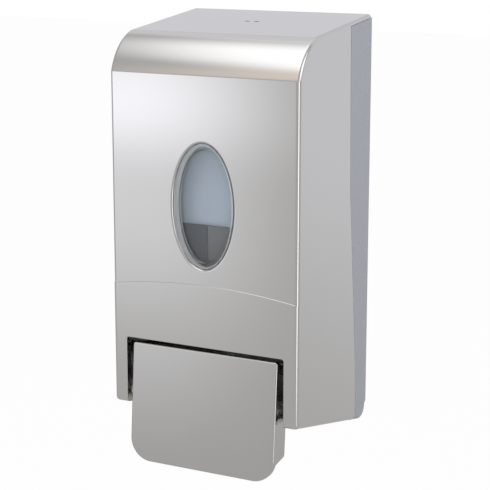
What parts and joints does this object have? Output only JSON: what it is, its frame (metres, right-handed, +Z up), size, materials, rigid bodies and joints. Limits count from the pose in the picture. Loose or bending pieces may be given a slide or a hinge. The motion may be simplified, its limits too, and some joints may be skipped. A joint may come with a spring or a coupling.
{
  "type": "liquid soap dispenser",
  "caption": "Wall-hung soap dispenser: a hinged cover with a rounded brow and an oval sight window, a push lever that drives a piston pump, a lift-lid tank and a key latch.",
  "frame": {"origin": "centre of the wall plate's flat rear face, halfway up the case", "axes": "+Z up; +Y into the wall, so the front and the lever face -Y; +X to the viewer's right from the front"},
  "size_m": [0.125, 0.1099, 0.2709],
  "materials": {
    "satin_chrome": "satin chrome plating on moulded ABS",
    "lever_chrome": "satin chrome plating on moulded ABS",
    "grained_abs": "fine moulded grain, silver grey ABS",
    "clear_window": "clear polished acrylic",
    "tank_plastic": "milky polyethylene",
    "dark_plastic": "moulded dark grey ABS",
    "black_plastic": "moulded black nylon",
    "white_plastic": "moulded white acetal",
    "bright_steel": "zinc plated steel",
    "black_rubber": "moulded rubber"
  },
  "bodies": {
    "wall_unit": {"back_plate": "grained_abs", "hinge_pin_left": "bright_steel", "hinge_pin_right": "bright_steel", "latch_housing": "dark_plastic", "latch_spring": "bright_steel", "latch_spring_seat": "dark_plastic", "latch_screw_left": "bright_steel", "latch_screw_right": "bright_steel", "tank": "tank_plastic", "tank_lid": "white_plastic", "tank_gasket": "black_rubber", "pump_collar": "dark_plastic", "pump_body": "white_plastic", "pump_end_cap": "dark_plastic", "plunger_spring": "bright_steel", "inlet_valve": "black_rubber", "outlet_valve": "black_rubber", "nozzle": "dark_plastic", "tank_carrier": "dark_plastic", "carrier_screw_1": "bright_steel", "carrier_screw_2": "bright_steel", "carrier_screw_3": "bright_steel", "carrier_screw_4": "bright_steel"},
    "cover": {"front_cover": "satin_chrome", "window_lens": "clear_window", "window_retainer": "black_plastic", "retainer_screw_1": "bright_steel", "retainer_screw_2": "bright_steel", "retainer_screw_3": "bright_steel", "retainer_screw_4": "bright_steel", "lever_pivot_rod": "bright_steel", "lever_bush_left": "black_plastic", "lever_bush_right": "black_plastic", "pivot_clip_left": "bright_steel", "pivot_clip_right": "bright_steel"},
    "lever": {"lever_plate": "lever_chrome", "lever_frame": "lever_chrome", "lever_screw_left": "bright_steel", "lever_screw_right": "bright_steel"},
    "pump_plunger": {"plunger": "white_plastic", "plunger_seal": "black_rubber", "plunger_button": "dark_plastic"},
    "latch": {"lock_latch": "white_plastic"}
  },
  "joints": [
    {"name": "cover_hinge", "type": "hinge", "parent": "wall_unit", "child": "cover", "pos_m": [0, -0.02065, -0.12205], "axis": [1, 0, 0], "range_deg": [0, 90]},
    {"name": "lever_pivot", "type": "hinge", "parent": "cover", "child": "lever", "pos_m": [0, -0.0967, -0.07276], "axis": [1, 0, 0], "range_deg": [0, 18], "stiffness_Nm_per_rad": 0.4, "springref_deg": -8.59},
    {"name": "plunger_slide", "type": "slide", "parent": "wall_unit", "child": "pump_plunger", "axis": [0, 1, 0], "range_m": [0, 0.00887], "deforming": ["plunger_spring"]},
    {"name": "latch_slide", "type": "slide", "parent": "wall_unit", "child": "latch", "axis": [0, 0, -1], "range_m": [0, 0.0065], "stiffness_N_per_m": 300, "springref_m": -0.006, "deforming": ["latch_spring"]}
  ],
  "couplings": [
    {"joint": "plunger_slide", "follows": "lever_pivot", "m_per_rad": 0.02822}
  ]
}
